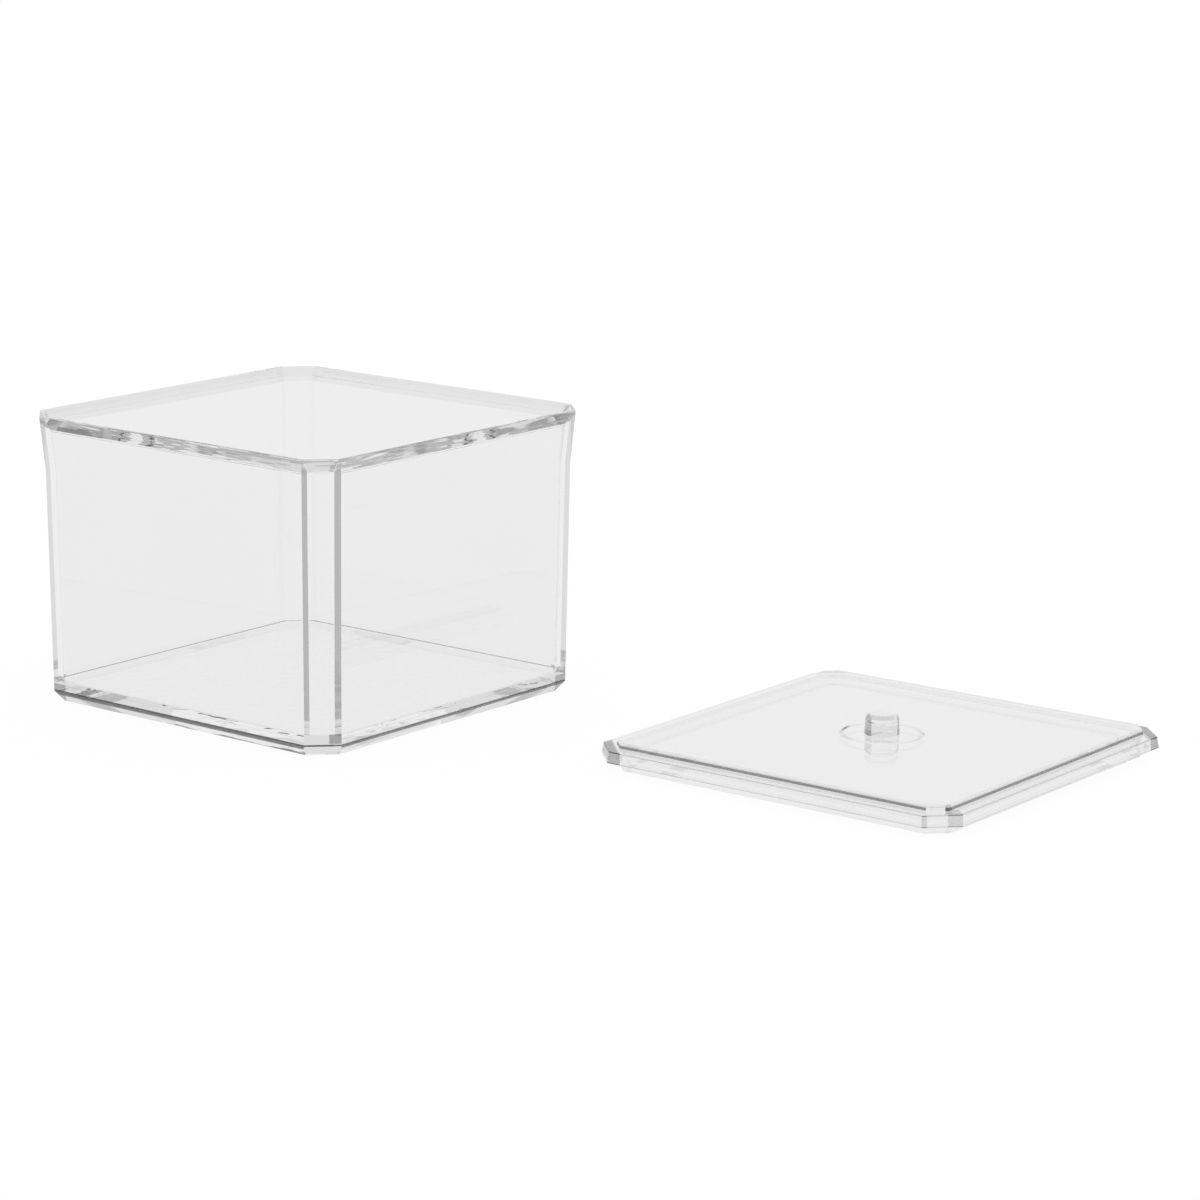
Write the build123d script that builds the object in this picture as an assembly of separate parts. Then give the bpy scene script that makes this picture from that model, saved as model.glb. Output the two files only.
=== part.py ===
from build123d import *
import math
import os

# Clear acrylic storage box with a lift-off lid.
# Millimetres, +Z up. The box's walls face X and Y, and the origin is the middle of its underside.
# The lid is taken off and lies beside the box, on the surface that the box stands on.

# Box body
rim_w = 120.0  # across the rim, from wall to wall
box_h = 86.3
wall_t = 4.4
floor_t = 5.6
rim_leg = 7.9  # what a cut corner takes off each side at the rim
foot_leg = 7.5  # the same at the foot of the walls
base_leg = 6.7  # the same at the underside
flare_h = 15.8  # band below the rim that leans out
flare_out = 1.15  # how far the band leans out on each side
draft_in = 0.9  # how far each wall draws in from the band down to its foot
bevel_h = 3.25  # bevel round the underside
bevel_in = 2.55
rim_flat = 1.2  # flat top of the rim, outside the bevel of the mouth
mouth_drop = 3.9  # height of the bevel of the mouth

# Lid plate
border_t = 3.4  # the border that rests on the box's rim
border_lean = 0.4  # how far each side of the border draws in from its lower to its upper edge
border_leg = 7.65
ledge_w = 4.3  # width of the border's upper face, round the raised panel
panel_rise = 1.7  # how far the panel stands up past the border
panel_lean = 0.3  # how far each side of the panel draws in to its top
panel_leg = 3.7
lip_gap = 0.35  # clearance between the lip and the box's wall
lip_w = 3.4
lip_depth = 2.9
groove_r = 12.15  # outer edge of the round groove about the knob
groove_w = 1.4
groove_depth = 0.6

# Lid knob
knob_base_r = 5.0
knob_top_r = 4.8  # where the side meets the bevel
knob_h = 6.0
knob_bevel = 1.1

# Where the lid lies
lid_x = 45.6
lid_y = -177.2
lid_turn = 1.18  # degrees

# A cut corner that moves in by one unit loses this share of it from its leg
corner_share = 2 - math.sqrt(2)


def octagon(z, width, leg):
    """A square face at height z with its four corners cut off."""
    half = width / 2
    near = half - leg
    outline = [
        (half, -near),
        (half, near),
        (near, half),
        (-near, half),
        (-half, near),
        (-half, -near),
        (-near, -half),
        (near, -half),
    ]
    return Plane.XY.offset(z) * make_face(Polyline(*outline, close=True))


def inset(section, distance):
    """The same section with every side moved in by the distance."""
    z, width, leg = section
    return z, width - 2 * distance, leg - distance * corner_share


def between(low, high, z):
    """The section at height z on the straight sides between two sections."""
    part_way = (z - low[0]) / (high[0] - low[0])
    width = low[1] + (high[1] - low[1]) * part_way
    leg = low[2] + (high[2] - low[2]) * part_way
    return z, width, leg


def stack(*sections):
    """The solid with straight sides from each section to the next."""
    return loft([octagon(*section) for section in sections], ruled=True)


# Sections of the box's outside, from the underside up
rim = (box_h, rim_w, rim_leg)
waist_w = rim_w - 2 * flare_out
foot = (bevel_h, waist_w - 2 * draft_in, foot_leg)
base = (0, foot[1] - 2 * bevel_in, base_leg)
waist_leg = rim_leg + (foot_leg - rim_leg) * flare_h / (box_h - bevel_h)
waist = (box_h - flare_h, waist_w, waist_leg)


def box_body():
    outside = stack(base, foot, waist, rim)
    mouth_foot = between(waist, rim, box_h - mouth_drop)
    hollow = stack(
        inset(between(foot, waist, floor_t), wall_t),
        inset(waist, wall_t),
        inset(mouth_foot, wall_t),
        inset(rim, rim_flat),
    )
    return outside - hollow


# Height of the panel's top above the foot of the lip
panel_top = lip_depth + border_t + panel_rise


def lid_plate():
    """The plate in its own place, with its lip standing on z = 0 and its middle at the origin."""
    lower = (lip_depth, rim_w, border_leg)
    upper = (lip_depth + border_t, rim_w - 2 * border_lean, border_leg)
    border = stack(lower, upper)
    panel_foot = (upper[0], upper[1] - 2 * ledge_w, panel_leg)
    panel = stack(panel_foot, (panel_top, panel_foot[1] - 2 * panel_lean, panel_leg))
    lip_top = inset((lip_depth, rim_w, rim_leg), wall_t + lip_gap)
    lip_foot = (0, lip_top[1], lip_top[2])
    lip = stack(lip_foot, lip_top) - stack(inset(lip_foot, lip_w), inset(lip_top, lip_w))
    groove_floor = Plane.XY.offset(panel_top - groove_depth)
    groove_face = groove_floor * (Circle(groove_r) - Circle(groove_r - groove_w))
    return border + panel + lip - extrude(groove_face, groove_depth)


def lid_knob():
    """The knob about the Z axis, standing on the panel."""
    profile = make_face(
        Polyline(
            (0, 0, panel_top),
            (knob_base_r, 0, panel_top),
            (knob_top_r, 0, panel_top + knob_h - knob_bevel),
            (knob_top_r - knob_bevel, 0, panel_top + knob_h),
            (0, 0, panel_top + knob_h),
            close=True,
        )
    )
    return revolve(profile, Axis.Z)


lid_place = Pos(lid_x, lid_y, 0) * Rot(0, 0, lid_turn)

nodes = {
    "box_body": box_body(),
    "lid_plate": lid_place * lid_plate(),
    "lid_knob": lid_place * lid_knob(),
}

os.makedirs("parts", exist_ok=True)
for name, shape in nodes.items():
    export_step(shape, f"parts/{name}.step")
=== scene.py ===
import math
from dataclasses import dataclass

import bpy
from mathutils import Matrix, Vector


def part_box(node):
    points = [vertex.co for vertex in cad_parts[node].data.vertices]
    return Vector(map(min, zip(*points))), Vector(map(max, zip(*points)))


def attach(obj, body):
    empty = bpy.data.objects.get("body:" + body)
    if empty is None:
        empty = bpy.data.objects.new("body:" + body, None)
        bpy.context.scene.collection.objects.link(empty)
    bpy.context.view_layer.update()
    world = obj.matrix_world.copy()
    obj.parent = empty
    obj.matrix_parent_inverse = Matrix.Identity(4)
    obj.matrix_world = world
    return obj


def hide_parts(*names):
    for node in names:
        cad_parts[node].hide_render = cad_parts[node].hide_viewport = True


bl_info = {
    "name": "Acrylic storage box with lid",
    "version": (1, 0, 0),
    "blender": (4, 5, 0),
    "location": "3D View > Sidebar > Acrylic Box",
    "description": "Builds a clear moulded storage box and its loose lid around their CAD pieces",
    "category": "Object",
}

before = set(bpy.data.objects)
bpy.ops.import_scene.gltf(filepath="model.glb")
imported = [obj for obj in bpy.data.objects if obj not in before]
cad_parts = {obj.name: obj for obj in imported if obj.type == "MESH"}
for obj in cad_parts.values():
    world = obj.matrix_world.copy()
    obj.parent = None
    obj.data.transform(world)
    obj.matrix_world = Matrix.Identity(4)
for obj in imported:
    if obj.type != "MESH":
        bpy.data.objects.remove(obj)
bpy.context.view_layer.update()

# Where the loose lid lies: its middle, taken from the knob, and its turn
knob_low, knob_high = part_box("lid_knob")
LID_MIDDLE = (knob_low + knob_high) / 2
LID_TURN = math.radians(1.18)

# The box stands about the origin, with one corner towards the photograph's side
BOX_MIDDLE = Vector((0, 0, 0))
FRONT = Vector((-1, -1, 0)).normalized()
SIDEWAYS = Vector((1, -1, 0)).normalized()

# Limits that no piece reaches, in metres
BELOW = -1.0
BEYOND = 1.0

CORNER_SHARE = 2 - math.sqrt(2)  # of each unit moved in, what a cut corner's leg loses
SOFT_SHARE = 0.3  # half way round a small radius, its distance from side and top, as a share of it

# Steps round the floor's inside radius, as shares of it: up from the floor, in from the wall
FILLET_STEPS = ((1, 0), (0.5, 0.134), (0.134, 0.5), (0, 1))

# What each point of the plan keeps, as plan_mesh says
ATTRIBUTES = ("corner", "cut", "bend", "disc")


class Expr:
    """A socket that adds a Math node for each operator used on it."""

    def __init__(self, tree, socket):
        self.tree = tree
        self.socket = socket

    def _math(self, operation, *values):
        return self.tree.node("ShaderNodeMath", {"operation": operation}, dict(enumerate(values)))

    def __add__(self, other):
        return self._math("ADD", self, other)

    def __radd__(self, other):
        return self._math("ADD", other, self)

    def __sub__(self, other):
        return self._math("SUBTRACT", self, other)

    def __rsub__(self, other):
        return self._math("SUBTRACT", other, self)

    def __mul__(self, other):
        return self._math("MULTIPLY", self, other)

    def __rmul__(self, other):
        return self._math("MULTIPLY", other, self)

    def __truediv__(self, other):
        return self._math("DIVIDE", self, other)

    def __rtruediv__(self, other):
        return self._math("DIVIDE", other, self)

    def __abs__(self):
        return self._math("ABSOLUTE", self)

    def over(self, limit):
        return self._math("GREATER_THAN", self, limit)

    def clamped(self):
        return self.tree.node(
            "ShaderNodeMath", {"operation": "ADD", "use_clamp": True}, {0: self, 1: 0.0}
        )


class Tree:
    """Builds nodes in a shader or geometry tree."""

    def __init__(self, nodes):
        self.nodes = nodes.nodes
        self.links = nodes.links

    def node(self, kind, settings=None, values=None, out=0):
        """A new node with its settings made first, then its inputs set or linked. Returns one output."""
        made = self.add(kind, settings, values)
        return Expr(self, made.outputs[out]) if len(made.outputs) else made

    def add(self, kind, settings=None, values=None):
        made = self.nodes.new(kind)
        for key, value in (settings or {}).items():
            setattr(made, key, value)
        for key, value in (values or {}).items():
            self.feed(made.inputs[key], value)
        return made

    def feed(self, socket, value):
        if isinstance(value, Expr):
            self.links.new(value.socket, socket)
        elif value is not None:
            socket.default_value = value

    def ramp(self, value, low, high, start=0.0, end=1.0):
        """A value that runs from start at the low limit to end at the high one."""
        limits = {"From Min": low, "From Max": high, "To Min": start, "To Max": end}
        return self.node("ShaderNodeMapRange", None, {"Value": value, **limits})

    def along(self, place, way):
        """How far a place lies along a direction."""
        return self.node(
            "ShaderNodeVectorMath", {"operation": "DOT_PRODUCT"}, {0: place, 1: way}, out="Value"
        )

    def noise(self, place, scale, detail=1.0):
        return self.node(
            "ShaderNodeTexNoise", None, {"Vector": place, "Scale": scale, "Detail": detail}
        )

    def blend(self, share, first, second):
        """A colour that turns from the first to the second."""
        colours = {"Factor": share, "A": first, "B": second}
        return self.node("ShaderNodeMix", {"data_type": "RGBA"}, colours, out="Result")


def clear_material(name):
    """An empty material with its node tree, ready to be filled."""
    material = bpy.data.materials.new(name)
    material.use_nodes = True
    material.node_tree.nodes.clear()
    return material, Tree(material.node_tree)


def spanned(level, span):
    """The two heights of a span that is given from a level."""
    return level + span[0], level + span[1]


def band(tree, value, limits):
    """One between two limits, and zero a tenth of a millimetre beyond them."""
    low, high = limits
    soft = 0.0001
    return tree.ramp(value, low - soft, low) * (1 - tree.ramp(value, high, high + soft))


@dataclass
class PaintedShadeMark:
    """A place where shade is painted into the acrylic's colour, or where a negative depth takes that
    painted shade away again.

    It lies between two heights. Where it has a direction, it also lies between limits along that
    direction (reach) and across it (sides), both from the piece's middle.
    """

    depth: float
    heights: tuple
    toward: Vector = None
    reach: tuple = (BELOW, BEYOND)
    sides: tuple = (BELOW, BEYOND)


@dataclass
class Piece:
    """What sets the acrylic of one moulded piece apart from the other's.

    The moulding's waves are strong below the height foot and above the height mouth, and are drawn
    out into level streaks above the height streaked_from. Light that has turned inside more often
    than turns leaves with the tone trapped, a painted grey that stands in for the light lost in the
    walls, or in patches with a darker painted shade, below the foot and in the streaks. Its
    painted_marks are shade painted into its colour.
    """

    middle: Vector
    painted_marks: list
    streaked_from: float
    foot: float
    mouth: float
    turns: int
    trapped: tuple


def painted_darkening(tree, place, height, piece):
    """How far the piece's painted shade darkens its colour, from zero to one."""
    dark = 0.0
    for mark in piece.painted_marks:
        inside = band(tree, height, mark.heights)
        if mark.toward is not None:
            across = Vector((-mark.toward.y, mark.toward.x, 0))
            for way, limits in ((mark.toward, mark.reach), (across, mark.sides)):
                along = tree.along(place, way) - way.dot(piece.middle)
                inside = inside * band(tree, along, limits)
        dark = dark + inside * mark.depth
    return dark.clamped()


def trapped_light(tree, place, height, waves, finish, piece):
    """How trapped light leaves the piece, as a painted grey with patches of darker painted shade, and a
    value that is one for the rays that carry it.
    """
    most_crossings = 10
    streak_share = 0.82
    patch_waves = (0.4, 0.55)  # the waves' values from which and to which the darker tone grows
    foot_aside = (0.012, 0.04)  # the same for the foot, as distances aside of the near corner
    path = tree.add("ShaderNodeLightPath")
    # Both counts are whole numbers, so a limit lies half a step above the last count allowed
    turned = Expr(tree, path.outputs["Glossy Depth"]).over(piece.turns + 0.5)
    crossed = Expr(tree, path.outputs["Ray Depth"]).over(most_crossings + 0.5)
    # The trapped tones are painted: a fixed grey stands in for light that turns often in the walls, and
    # the deep one is darker painted shade in patches
    pale = tree.node("ShaderNodeBsdfTransparent", None, {"Color": piece.trapped})
    grey = tree.node("ShaderNodeBsdfTransparent", None, {"Color": finish.trapped_painted_shade})
    # Where the patches of painted shade lie: in the streaks, and below the foot aside of the near corner
    outer = tree.ramp(abs(tree.along(place, SIDEWAYS)), *foot_aside)
    painted_patch_mask = height.over(piece.streaked_from) * streak_share + (1 - height.over(piece.foot)) * outer
    share = painted_patch_mask.clamped() * tree.ramp(waves, *patch_waves)
    leaving = tree.node("ShaderNodeMixShader", None, {0: share, 1: pale, 2: grey})
    return leaving, (turned + crossed).clamped()


def clear_acrylic(name, finish, piece):
    """Polished clear acrylic with the faint waves and handling haze of a moulded part, and shade painted
    into its colour at the piece's marks.
    """
    drift_scale = 22.0
    wave_scale = 90.0
    haze_scale = 160.0
    streak_stretch = (0.5, 0.5, 4.5)
    calm = 0.02  # height of the waves away from foot and mouth, as a share
    painted_shade_colour = (0.02, 0.02, 0.02, 1.0)
    material, tree = clear_material(name)
    place = tree.node("ShaderNodeTexCoord", out="Object")
    height = Expr(tree, tree.add("ShaderNodeSeparateXYZ", None, {"Vector": place}).outputs["Z"])
    flow = tree.node("ShaderNodeVectorMath", {"operation": "MULTIPLY"}, {0: place, 1: streak_stretch})
    long_waves = tree.noise(flow, wave_scale)
    round_waves = tree.noise(place, wave_scale)
    waves = round_waves + (long_waves - round_waves) * height.over(piece.streaked_from)
    haze = tree.noise(place, haze_scale, detail=3.0)
    drift = tree.noise(place, drift_scale)
    tint = tree.blend(drift, finish.acrylic_colour, finish.acrylic_deep)
    # Painted shade: the colour turns towards near black wherever a mark lies
    colour = tree.blend(painted_darkening(tree, place, height, piece), tint, painted_shade_colour)
    wavy = band(tree, height, (BELOW, piece.foot)) + band(tree, height, (piece.mouth, BEYOND))
    bump = tree.node(
        "ShaderNodeBump",
        None,
        {"Strength": 1.0, "Distance": finish.ripple, "Height": waves * (calm + wavy)},
    )
    shader = tree.node(
        "ShaderNodeBsdfPrincipled",
        None,
        {
            "Base Color": colour,
            "Roughness": haze * finish.haze,
            "IOR": 1.491,
            "Transmission Weight": 1.0,
            "Normal": bump,
        },
    )
    leaving, trapped = trapped_light(tree, place, height, waves, finish, piece)
    surface = tree.node("ShaderNodeMixShader", None, {0: trapped, 1: shader, 2: leaving})
    tree.add("ShaderNodeOutputMaterial", None, {"Surface": surface})
    return material


def plan_mesh(name, side_steps, corner_steps):
    """One flat face with the plan of a square with cut corners.

    Each point keeps how far it follows the half width (corner), the leg of the cut corner (cut),
    the small radius at the cut's ends (bend) and a circle about the middle (disc).
    """
    start_half = 0.05
    disc_half, disc_leg = 0.5, 0.065  # the plan's proportions, which give each point its direction
    eighth = math.pi / 4
    half_bend = math.tan(eighth / 2)
    corner, cut, bend, disc = [], [], [], []
    for side in range(4):
        spin = Matrix.Rotation(side * math.pi / 2, 2)
        rows = []
        for sign, start in ((-1, -eighth), (1, 0)):
            # The two ends of this side, each with its small bend of one eighth of a turn
            middle = Vector((-1.0, -sign * half_bend))
            for step in range(corner_steps + 1):
                angle = start + eighth * step / corner_steps
                arc = middle + Vector((math.cos(angle), math.sin(angle)))
                rows.append((Vector((1, sign)), Vector((0, -sign)), arc))
            if sign < 0:
                low, high = rows[-1], (Vector((1, 1)), Vector((0, -1)), Vector((0, -half_bend)))
                for step in range(1, side_steps):
                    share = step / side_steps
                    rows.append(tuple(a.lerp(b, share) for a, b in zip(low, high)))
        for at_corner, at_cut, at_bend in rows:
            corner.append(spin @ at_corner)
            cut.append(spin @ at_cut)
            bend.append(spin @ at_bend)
    for at_corner, at_cut in zip(corner, cut):
        disc.append((at_corner * disc_half + at_cut * disc_leg).normalized())
    mesh = bpy.data.meshes.new(name)
    mesh.from_pydata([(*(at * start_half), 0) for at in corner], [], [range(len(corner))])
    for title, values in zip(ATTRIBUTES, (corner, cut, bend, disc)):
        layer = mesh.attributes.new(title, "FLOAT_VECTOR", "POINT")
        layer.data.foreach_set("vector", [x for v in values for x in (v[0], v[1], 0)])
    return mesh


def section_tree(name, inputs, rings_of, material):
    """A tree that raises the plan through rings of (height, half width, leg, bend, disc)."""
    merge_distance = 1e-7
    group = bpy.data.node_groups.new(name, "GeometryNodeTree")
    group.interface.new_socket("Geometry", in_out="INPUT", socket_type="NodeSocketGeometry")
    group.interface.new_socket("Geometry", in_out="OUTPUT", socket_type="NodeSocketGeometry")
    for title in inputs:
        group.interface.new_socket(title, in_out="INPUT", socket_type="NodeSocketFloat")
    tree = Tree(group)
    entry = tree.add("NodeGroupInput")
    size = {title: Expr(tree, entry.outputs[title]) for title in inputs}
    follow = [
        tree.node("GeometryNodeInputNamedAttribute", {"data_type": "FLOAT_VECTOR"}, {"Name": title})
        for title in ATTRIBUTES
    ]

    def placed(geometry, ring, selection=None):
        height, *amounts = ring
        place = tree.node("ShaderNodeCombineXYZ", None, {"Z": height})
        for part, amount in zip(follow, amounts):
            if not isinstance(amount, Expr) and amount == 0:
                continue
            scaled = tree.node(
                "ShaderNodeVectorMath", {"operation": "SCALE"}, {"Vector": part, "Scale": amount}
            )
            place = tree.node("ShaderNodeVectorMath", {"operation": "ADD"}, {0: place, 1: scaled})
        return tree.node(
            "GeometryNodeSetPosition",
            None,
            {"Geometry": geometry, "Selection": selection, "Position": place},
        )

    rings = rings_of(size)
    body = placed(Expr(tree, entry.outputs["Geometry"]), rings[0])
    foot = tree.node("GeometryNodeFlipFaces", None, {"Mesh": body})
    top = True
    for ring in rings[1:]:
        raised = tree.add(
            "GeometryNodeExtrudeMesh",
            {"mode": "FACES"},
            {"Mesh": body, "Selection": top, "Offset Scale": 0.0, "Individual": False},
        )
        top = Expr(tree, raised.outputs["Top"])
        body = placed(Expr(tree, raised.outputs["Mesh"]), ring, top)
    joined = tree.add("GeometryNodeJoinGeometry")
    tree.links.new(foot.socket, joined.inputs[0])
    tree.links.new(body.socket, joined.inputs[0])
    closed = tree.node(
        "GeometryNodeMergeByDistance",
        None,
        {"Geometry": Expr(tree, joined.outputs[0]), "Distance": merge_distance},
    )
    real = tree.node("GeometryNodeRealizeInstances", None, {"Geometry": closed})
    dressed = tree.node("GeometryNodeSetMaterial", None, {"Geometry": real, "Material": material})
    tree.add("NodeGroupOutput", None, {"Geometry": dressed})
    return group


def grown(name, plan, group, values):
    """The mesh that a tree makes of the plan, as a plain object with no modifier."""
    seed = bpy.data.objects.new(name, plan)
    bpy.context.scene.collection.objects.link(seed)
    modifier = seed.modifiers.new("Sections", "NODES")
    modifier.node_group = group
    for item in group.interface.items_tree:
        if item.item_type == "SOCKET" and item.in_out == "INPUT" and item.name in values:
            modifier[item.identifier] = values[item.name]
    bpy.context.view_layer.update()
    graph = bpy.context.evaluated_depsgraph_get()
    mesh = bpy.data.meshes.new_from_object(seed.evaluated_get(graph))
    mesh.name = name
    for title in ATTRIBUTES:
        if title in mesh.attributes:
            mesh.attributes.remove(mesh.attributes[title])
    seed.modifiers.remove(modifier)
    seed.data = mesh
    bpy.data.meshes.remove(plan)
    return seed


def moved_in(height, half, leg, distance, edge):
    """A ring with every side moved in by the distance."""
    return height, half - distance, leg - distance * CORNER_SHARE, edge, 0


def rounded_top(height, half, leg, edge):
    """The last two rings of a side that turns with the edge radius into the face above it."""
    soft = edge * SOFT_SHARE
    return [moved_in(height - soft, half, leg, soft, edge), moved_in(height, half, leg, edge, edge)]


def box_rings(size):
    """Rings of the box body, from the underside up the outside and down the inside to its floor."""
    top, floor, wall = size["Height"], size["Floor"], size["Wall"]
    flare, lean = size["Flare height"], size["Flare lean"]
    rim_leg, foot_leg = size["Rim cut"], size["Foot cut"]
    bevel, mouth = size["Bevel height"], size["Mouth drop"]
    edge, fillet = size["Edge radius"], size["Floor fillet"]
    half = size["Rim width"] / 2
    waist_height = top - flare
    waist = half - lean
    waist_leg = rim_leg + (foot_leg - rim_leg) * flare / (top - bevel)
    foot = waist - size["Draft"]
    floor_share = (floor - bevel) / (waist_height - bevel)
    floor_half = foot + (waist - foot) * floor_share - wall
    floor_leg = foot_leg + (waist_leg - foot_leg) * floor_share - wall * CORNER_SHARE
    mouth_share = mouth / flare
    mouth_half = half - lean * mouth_share
    mouth_leg = rim_leg + (waist_leg - rim_leg) * mouth_share
    outside = [
        (0, foot - size["Bevel run"], size["Base cut"], edge, 0),
        (bevel, foot, foot_leg, edge, 0),
        (waist_height, waist, waist_leg, edge, 0),
        (top - edge, half - lean / flare * edge, rim_leg, edge, 0),
        *rounded_top(top, half, rim_leg, edge),
    ]
    inside = [
        moved_in(top, half, rim_leg, size["Rim flat"], edge),
        moved_in(top - mouth, mouth_half, mouth_leg, wall, edge),
        moved_in(waist_height, waist, waist_leg, wall, edge),
    ]
    rounding = [
        moved_in(floor + fillet * up, floor_half, floor_leg, fillet * away, edge)
        for up, away in FILLET_STEPS
    ]
    return outside + inside + rounding


def lid_rings(size):
    """Rings of the lid, from the hollow beneath it over the lip, border and panel to the knob's top."""
    lean_share = 0.1  # what the border has drawn in one edge radius up, as a share of that radius
    edge = size["Edge radius"]
    soft = edge * SOFT_SHARE
    half = size["Rim width"] / 2
    lip_in = size["Wall"] + size["Lip gap"]
    lip = half - lip_in
    lip_leg = size["Rim cut"] - lip_in * CORNER_SHARE
    lip_top, lip_width = size["Lip depth"], size["Lip width"]
    border_top = lip_top + size["Border"]
    border = half - size["Border lean"]
    border_leg, panel_leg = size["Border cut"], size["Panel cut"]
    panel_foot = border - size["Ledge"]
    panel = panel_foot - size["Panel lean"]
    panel_top = border_top + size["Panel rise"]
    groove = size["Groove radius"]
    groove_inner = groove - size["Groove width"]
    groove_floor = panel_top - size["Groove depth"]
    knob_top = panel_top + size["Knob height"]
    shoulder, bevel = size["Knob shoulder"], size["Knob bevel"]
    return [
        moved_in(lip_top, lip, lip_leg, lip_width, edge),
        moved_in(0, lip, lip_leg, lip_width, edge),
        (0, lip, lip_leg, edge, 0),
        (lip_top, lip, lip_leg, edge, 0),
        moved_in(lip_top, half, border_leg, edge, edge),
        moved_in(lip_top + soft, half, border_leg, soft, edge),
        (lip_top + edge, half - edge * lean_share, border_leg, edge, 0),
        (border_top - edge, border, border_leg, edge, 0),
        *rounded_top(border_top, border, border_leg, edge),
        (border_top, panel_foot, panel_leg, edge, 0),
        (panel_top - edge, panel, panel_leg, edge, 0),
        *rounded_top(panel_top, panel, panel_leg, edge),
        (panel_top, 0, 0, 0, groove),
        (groove_floor, 0, 0, 0, groove),
        (groove_floor, 0, 0, 0, groove_inner),
        (panel_top, 0, 0, 0, groove_inner),
        (panel_top, 0, 0, 0, size["Knob foot"]),
        (knob_top - bevel, 0, 0, 0, shoulder),
        (knob_top, 0, 0, 0, shoulder - bevel),
    ]


def metres(title, text, value):
    return bpy.props.FloatProperty(
        name=title, description=text, default=value, unit="LENGTH", precision=5
    )


def tone(title, text, value):
    return bpy.props.FloatVectorProperty(
        name=title, description=text, default=value, subtype="COLOR", size=4, min=0.0, max=1.0
    )


class BoxSizes(bpy.types.PropertyGroup):
    rim_width: metres("Rim width", "Across the rim, from wall to wall", 0.1200)
    height: metres("Height", "From the surface to the rim", 0.0863)
    wall: metres("Wall", "Thickness of the walls", 0.0044)
    floor: metres("Floor", "Thickness of the floor", 0.0056)
    floor_fillet: metres("Floor fillet", "Radius inside, where the walls meet the floor", 0.0004)
    rim_cut: metres("Rim cut", "What a cut corner takes off each side at the rim", 0.0079)
    foot_cut: metres("Foot cut", "The same at the foot of the walls", 0.0075)
    base_cut: metres("Base cut", "The same at the underside", 0.0067)
    flare_height: metres("Flare height", "Height of the leaning band below the rim", 0.0158)
    flare_lean: metres("Flare lean", "How far the band leans out on each side", 0.00115)
    draft: metres("Draft", "How far each wall draws in down to its foot", 0.0009)
    bevel_height: metres("Bevel height", "Height of the bevel round the underside", 0.00325)
    bevel_run: metres("Bevel run", "How far that bevel draws in", 0.00255)
    rim_flat: metres("Rim flat", "Width of the flat top of the rim", 0.0012)
    mouth_drop: metres("Mouth drop", "Height of the bevel inside the rim", 0.0039)
    edge_radius: metres("Edge radius", "Small radius that the mould leaves on the edges", 0.00025)


class LidSizes(bpy.types.PropertyGroup):
    border: metres("Border", "Thickness of the border that rests on the rim", 0.0034)
    border_lean: metres("Border lean", "How far the border's edge draws in to its top", 0.0004)
    border_cut: metres("Border cut", "What a cut corner takes off each side of the border", 0.00765)
    ledge: metres("Ledge", "Width of the border's upper face round the panel", 0.0043)
    panel_rise: metres("Panel rise", "How far the panel stands up past the border", 0.0017)
    panel_lean: metres("Panel lean", "How far the panel's sides draw in to its top", 0.0003)
    panel_cut: metres("Panel cut", "What a cut corner takes off each side of the panel", 0.0037)
    lip_gap: metres("Lip gap", "Clearance between the lip and the box's wall", 0.00035)
    lip_width: metres("Lip width", "Width of the lip beneath the plate", 0.0034)
    lip_depth: metres("Lip depth", "How far the lip stands down from the plate", 0.0029)
    groove_radius: metres("Groove radius", "Outer edge of the round groove", 0.01215)
    groove_width: metres("Groove width", "Width of the round groove", 0.0014)
    groove_depth: metres("Groove depth", "Depth of the round groove", 0.0006)
    knob_foot: metres("Knob foot", "Radius of the knob at the panel", 0.0050)
    knob_shoulder: metres("Knob shoulder", "Radius of the knob below its bevel", 0.0048)
    knob_height: metres("Knob height", "Height of the knob", 0.0060)
    knob_bevel: metres("Knob bevel", "Bevel round the knob's top", 0.0011)


class Finish(bpy.types.PropertyGroup):
    acrylic_colour: tone(
        "Acrylic colour",
        "Tint that light takes on at each face of the acrylic",
        (0.979, 0.979, 0.98, 1.0),
    )
    acrylic_deep: tone(
        "Acrylic shade",
        "The slightly greyer tint that drifts through the moulding",
        (0.97, 0.97, 0.971, 1.0),
    )
    haze: bpy.props.FloatProperty(
        name="Haze", description="Faint roughness from handling", default=0.004, min=0.0, max=0.2
    )
    ripple: bpy.props.FloatProperty(
        name="Ripple",
        description="Height of the moulding's waves at its foot and rim",
        default=0.00008,
        precision=5,
    )
    # Painted tones: the trapped ones are a painted grey for light that turns often inside, and the deep
    # one is darker painted shade in patches at the rim, the foot and the knob
    trapped_colour: tone(
        "Trapped light",
        "Tone of the light that turns often inside the walls",
        (0.81, 0.81, 0.812, 1.0),
    )
    trapped_lid: tone(
        "Trapped light in the lid", "The same in the thin lid", (0.93, 0.93, 0.932, 1.0)
    )
    trapped_painted_shade: tone(
        "Trapped light in edges",
        "The same in the rim, the foot and the knob",
        (0.4, 0.4, 0.402, 1.0),
    )
    floor_colour: tone("Floor colour", "Colour of the pale floor", (0.98, 0.98, 0.98, 1.0))


def values_of(*groups):
    """The tree's inputs by name, from the properties with the same names."""
    found = {}
    for group in groups:
        for prop in group.bl_rna.properties:
            if prop.type == "FLOAT" and prop.unit == "LENGTH":
                found[prop.name] = getattr(group, prop.identifier)
    return found


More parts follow.
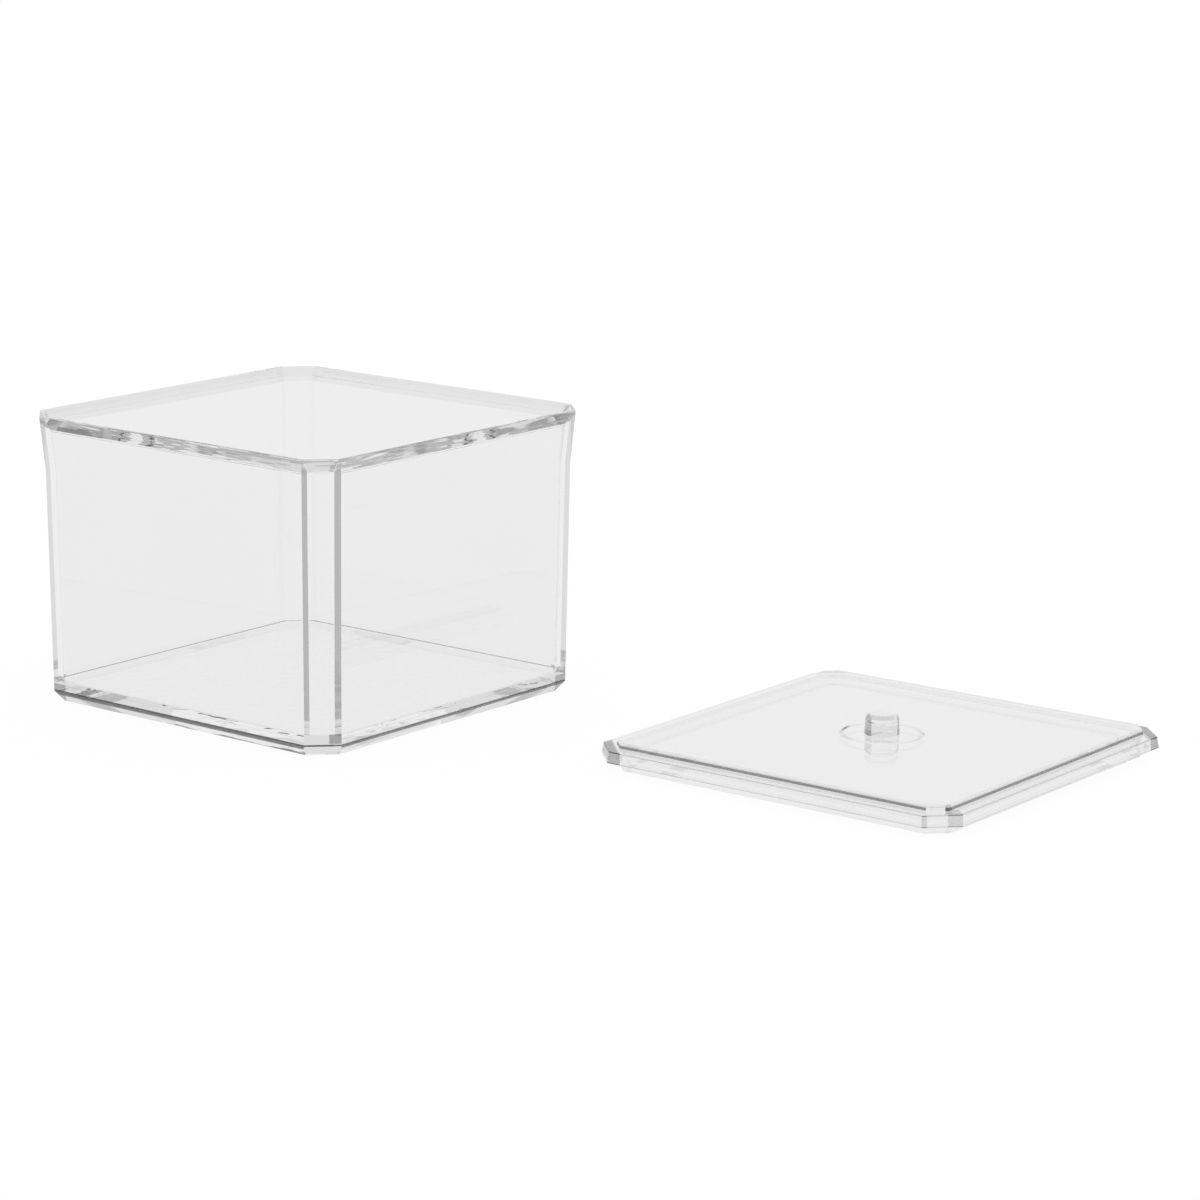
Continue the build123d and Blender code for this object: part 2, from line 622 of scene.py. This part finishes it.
def box_painted_marks(sizes):
    """The box's painted shade: round its foot, in its mouth, and at its near, left and right corners."""
    # Heights from the bevel's top
    painted_foot_line = (-0.0007, 0.0004)
    painted_left_foot_line = (-0.0012, 0.0004)
    near_painted_shade_lifted = (-0.0014, -0.0001)
    painted_near_block = (0.0007, 0.0034)
    # Places in the plan
    left_wall = (0.052, BEYOND)
    near_face = (0.0745, BEYOND)
    near_sides = (-0.0053, 0.0053)
    block_sides = (0.0019, 0.0053)
    foot_corner_depth = 0.006
    # What keeps a mark clear of the edges beside it
    flare_margin = 0.0001
    flare_top_margin = 0.001
    mouth_margin = 0.0002
    rim_margin = 0.0004

    corner = (sizes.rim_width - sizes.rim_cut) / math.sqrt(2)
    foot_corner = (corner - foot_corner_depth, BEYOND)
    flare_corner = (corner - sizes.flare_lean * math.sqrt(2) + flare_margin, BEYOND)
    flare = (sizes.height - sizes.flare_height, sizes.height - flare_top_margin)
    mouth = (sizes.height - sizes.mouth_drop + mouth_margin, sizes.height - rim_margin)
    bevel = sizes.bevel_height
    # Painted shade: dark lines round the foot and in the mouth, dark blocks at the corners; the negative
    # depth lifts painted shade off a band at the near corner
    painted_marks = [
        PaintedShadeMark(0.97, spanned(bevel, painted_foot_line)),
        PaintedShadeMark(0.05, mouth),
        PaintedShadeMark(0.97, spanned(bevel, painted_left_foot_line), Vector((-1, 0, 0)), left_wall),
        PaintedShadeMark(-2.0, spanned(bevel, near_painted_shade_lifted), FRONT, near_face, near_sides),
        PaintedShadeMark(0.75, spanned(bevel, painted_near_block), FRONT, near_face, block_sides),
    ]
    for side in (SIDEWAYS, -SIDEWAYS):
        painted_marks.append(PaintedShadeMark(0.7, (BELOW, sizes.floor), side, foot_corner))
        painted_marks.append(PaintedShadeMark(0.28, flare, side, flare_corner))
    return painted_marks


def lid_painted_marks(box, sizes, panel_top, knob_start):
    """The lid's painted shade: along its edges, at its near, left and right corners, and on lip and
    knob.
    """
    # Heights from the edge that each one follows
    painted_lip_line = (0.0001, 0.0003)
    painted_border_line = (-0.0003, -0.0001)
    painted_panel_foot_line = (0.0001, 0.0008)
    painted_panel_line = (-0.0008, -0.0005)
    painted_knob_foot_line = (0.0001, 0.0016)
    near_painted_shade_lifted = (0.0, 0.0009)
    painted_under_lip = (BELOW, 0.0002)
    # Places in the plan
    corner_depth = 0.0032
    corner_margin = 0.0002
    face_depth = 0.0006
    ledge_depth = 0.0048
    painted_left_strip = (-0.0056, -0.0042)
    middle_strip = (-0.0042, 0.0015)
    painted_right_strip = (0.0016, 0.0056)
    painted_knob_side = (0.0038, 0.0060)

    corner = (box.rim_width - sizes.border_cut) / math.sqrt(2)
    left_corner = (corner - corner_depth, corner - corner_margin)
    right_corner = (corner - corner_depth, BEYOND)
    near_face = (corner - face_depth, BEYOND)
    near_ledge = (corner - ledge_depth, BEYOND)
    lip_half = box.rim_width / 2 - box.wall - sizes.lip_gap
    lip = (lip_half - sizes.lip_width, lip_half)
    lip_sides = (-lip_half, lip_half)
    border_top = sizes.lip_depth + sizes.border
    up_to_border = (BELOW, border_top)
    up_to_panel = (BELOW, panel_top)
    knob = (knob_start, BEYOND)
    turn = Matrix.Rotation(LID_TURN, 3, "Z")
    front = turn @ FRONT
    right = turn @ SIDEWAYS
    # Painted shade: dark lines along the edges, dark corners, dark reflections on the knob's sides, grey
    # strips at the near corner and under the far lip; the negative depth lifts painted shade off the
    # near ledge
    painted_marks = [
        PaintedShadeMark(0.45, spanned(sizes.lip_depth, painted_lip_line)),
        PaintedShadeMark(0.5, spanned(border_top, painted_border_line)),
        PaintedShadeMark(0.92, spanned(border_top, painted_panel_foot_line)),
        PaintedShadeMark(0.3, spanned(panel_top, painted_panel_line)),
        PaintedShadeMark(0.25, spanned(panel_top, painted_knob_foot_line)),
        PaintedShadeMark(0.7, up_to_border, -right, left_corner),
        PaintedShadeMark(0.7, up_to_border, right, right_corner),
        PaintedShadeMark(0.6, knob, -right, painted_knob_side),
        PaintedShadeMark(0.6, knob, right, painted_knob_side),
        PaintedShadeMark(-1.0, spanned(border_top, near_painted_shade_lifted), front, near_ledge, middle_strip),
        PaintedShadeMark(0.45, up_to_border, front, near_face, painted_left_strip),
        PaintedShadeMark(0.42, up_to_panel, front, near_ledge, painted_right_strip),
    ]
    for far_side in (Vector((1, 0, 0)), Vector((0, 1, 0))):
        painted_marks.append(PaintedShadeMark(0.15, painted_under_lip, turn @ far_side, lip, lip_sides))
    return painted_marks


class ACRYLIC_OT_box(bpy.types.Operator):
    """Build the moulded box body and dress it in clear acrylic"""

    bl_idname = "acrylic.box"
    bl_label = "Box body"

    def execute(self, context):
        sizes = context.scene.acrylic_box
        finish = context.scene.acrylic_finish
        foot_margin = 0.0002
        mouth = sizes.height - sizes.mouth_drop
        piece = Piece(
            middle=BOX_MIDDLE,
            painted_marks=box_painted_marks(sizes),
            streaked_from=mouth,
            foot=sizes.floor - foot_margin,
            mouth=mouth,
            turns=3,
            trapped=finish.trapped_colour,
        )
        material = clear_acrylic("box_acrylic", finish, piece)
        values = values_of(sizes)
        tree = section_tree("Box sections", list(values), box_rings, material)
        plan = plan_mesh("box_plan", side_steps=1, corner_steps=2)
        body = grown("box_moulding", plan, tree, values)
        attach(body, "box")
        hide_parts("box_body")
        return {"FINISHED"}


class ACRYLIC_OT_lid(bpy.types.Operator):
    """Build the loose lid with its bonded knob and dress it in clear acrylic"""

    bl_idname = "acrylic.lid"
    bl_label = "Lid and knob"

    def execute(self, context):
        box = context.scene.acrylic_box
        sizes = context.scene.acrylic_lid
        finish = context.scene.acrylic_finish
        knob_margin = 0.0001
        sharp_from = math.radians(10)
        panel_top = sizes.lip_depth + sizes.border + sizes.panel_rise
        knob_start = panel_top + knob_margin
        piece = Piece(
            middle=LID_MIDDLE,
            painted_marks=lid_painted_marks(box, sizes, panel_top, knob_start),
            streaked_from=knob_start,
            foot=BELOW,
            mouth=BEYOND,
            turns=1,
            trapped=finish.trapped_lid,
        )
        material = clear_acrylic("lid_acrylic", finish, piece)
        values = values_of(box, sizes)
        tree = section_tree("Lid sections", list(values), lid_rings, material)
        plan = plan_mesh("lid_plan", side_steps=28, corner_steps=2)
        lid = grown("lid_moulding", plan, tree, values)
        place = Matrix.Translation((LID_MIDDLE.x, LID_MIDDLE.y, 0))
        lid.data.transform(place @ Matrix.Rotation(LID_TURN, 4, "Z"))
        lid.data.shade_smooth()
        lid.data.set_sharp_from_angle(angle=sharp_from)
        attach(lid, "lid")
        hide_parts("lid_plate", "lid_knob")
        return {"FINISHED"}


def rays_that_look(tree, path):
    """One for rays straight from the camera, and one for those and the mirrored and refracted ones."""
    straight = Expr(tree, path.outputs["Is Camera Ray"])
    mirrored = Expr(tree, path.outputs["Is Glossy Ray"])
    refracted = Expr(tree, path.outputs["Is Transmission Ray"])
    return straight, (straight + (mirrored + refracted)).clamped()


def lay_floor(scene):
    """A pale floor that is white to the camera and keeps a faint shadow."""
    reach = 6.0
    drop = -0.00005
    glow_for_others = 0.875
    glow_share = 0.97
    mesh = bpy.data.meshes.new("floor")
    plan = ((-reach, -reach), (reach, -reach), (reach, reach), (-reach, reach))
    mesh.from_pydata([(x, y, drop) for x, y in plan], [], [range(len(plan))])
    floor = bpy.data.objects.new("floor", mesh)
    scene.collection.objects.link(floor)
    material, tree = clear_material("pale_floor")
    matt = tree.node("ShaderNodeBsdfDiffuse", None, {"Color": scene.acrylic_finish.floor_colour})
    straight, looking = rays_that_look(tree, tree.add("ShaderNodeLightPath"))
    strength = straight + (1 - straight) * glow_for_others
    glow = tree.node("ShaderNodeEmission", None, {"Strength": strength})
    mixed = tree.node("ShaderNodeMixShader", None, {0: looking * glow_share, 1: matt, 2: glow})
    tree.add("ShaderNodeOutputMaterial", None, {"Surface": mixed})
    mesh.materials.append(material)


def light_softly(scene):
    """An even white studio. Mirrored and refracted rays see it grow dark towards the ceiling."""
    pale, dark = 0.88, 0.1
    pale_up_to, dark_from = 0.28, 0.52
    world = bpy.data.worlds.new("soft studio")
    world.use_nodes = True
    world.node_tree.nodes.clear()
    scene.world = world
    sky = Tree(world.node_tree)
    way = sky.node("ShaderNodeTexCoord", out="Generated")
    rise = Expr(sky, sky.add("ShaderNodeSeparateXYZ", None, {"Vector": way}).outputs["Z"])
    dome = sky.ramp(rise, pale_up_to, dark_from, pale, dark)
    path = sky.add("ShaderNodeLightPath")
    straight, looking = rays_that_look(sky, path)
    # Light that was trapped in the acrylic sees the pale tone, whichever way it leaves.
    # The count is a whole number, so more than a half is once or more.
    freed = Expr(sky, path.outputs["Transparent Depth"]).over(0.5)
    strength = 1 - (looking - straight) * (1 - dome - freed * (pale - dome))
    background = sky.node("ShaderNodeBackground", None, {"Color": (1, 1, 1, 1), "Strength": strength})
    sky.add("ShaderNodeOutputWorld", None, {"Surface": background})


def set_camera(scene):
    """The camera at the photograph's viewing angle."""
    place = Vector((-0.8622, -0.7927, 0.2949))
    heading = Vector((0.7844, 0.6202, 0))
    dip, roll = 0.2237, 0.0085  # radians
    forward = heading * math.cos(dip) - Vector((0, 0, math.sin(dip)))
    forward.normalize()
    level = forward.cross(Vector((0, 0, 1))).normalized()
    upward = level.cross(forward)
    right = level * math.cos(roll) + upward * math.sin(roll)
    up = upward * math.cos(roll) - level * math.sin(roll)
    data = bpy.data.cameras.new("camera")
    data.lens = 119.63
    data.sensor_width = 36.0
    data.clip_end = 50.0
    camera = bpy.data.objects.new("camera", data)
    turn = Matrix((right, up, -forward)).transposed()
    camera.matrix_world = Matrix.Translation(place) @ turn.to_4x4()
    scene.collection.objects.link(camera)
    scene.camera = camera


class ACRYLIC_OT_stage(bpy.types.Operator):
    """Lay the pale floor, light it softly and set the camera"""

    bl_idname = "acrylic.stage"
    bl_label = "Floor, light and camera"

    def execute(self, context):
        lay_floor(context.scene)
        light_softly(context.scene)
        set_camera(context.scene)
        context.scene.view_settings.view_transform = "Standard"
        return {"FINISHED"}


class ACRYLIC_PT_panel(bpy.types.Panel):
    """Lists the pieces and the sizes of the box"""

    bl_label = "Acrylic Box"
    bl_space_type = "VIEW_3D"
    bl_region_type = "UI"
    bl_category = "Acrylic Box"

    def draw(self, context):
        layout = self.layout
        for operator in OPERATORS:
            layout.operator(operator.bl_idname)
        for name in GROUPS:
            group = getattr(context.scene, name)
            column = layout.column(align=True)
            for prop in group.bl_rna.properties:
                if not prop.is_readonly and prop.identifier != "name":
                    column.prop(group, prop.identifier)


OPERATORS = (ACRYLIC_OT_box, ACRYLIC_OT_lid, ACRYLIC_OT_stage)
GROUPS = {"acrylic_box": BoxSizes, "acrylic_lid": LidSizes, "acrylic_finish": Finish}


def register():
    for group in GROUPS.values():
        bpy.utils.register_class(group)
    for name, group in GROUPS.items():
        setattr(bpy.types.Scene, name, bpy.props.PointerProperty(type=group))
    for operator in OPERATORS:
        bpy.utils.register_class(operator)
    bpy.utils.register_class(ACRYLIC_PT_panel)


def unregister():
    bpy.utils.unregister_class(ACRYLIC_PT_panel)
    for operator in reversed(OPERATORS):
        bpy.utils.unregister_class(operator)
    for name in GROUPS:
        delattr(bpy.types.Scene, name)
    for group in reversed(GROUPS.values()):
        bpy.utils.unregister_class(group)


def main():
    register()
    bpy.ops.acrylic.box()
    bpy.ops.acrylic.lid()
    bpy.ops.acrylic.stage()


if __name__ == "__main__":
    main()
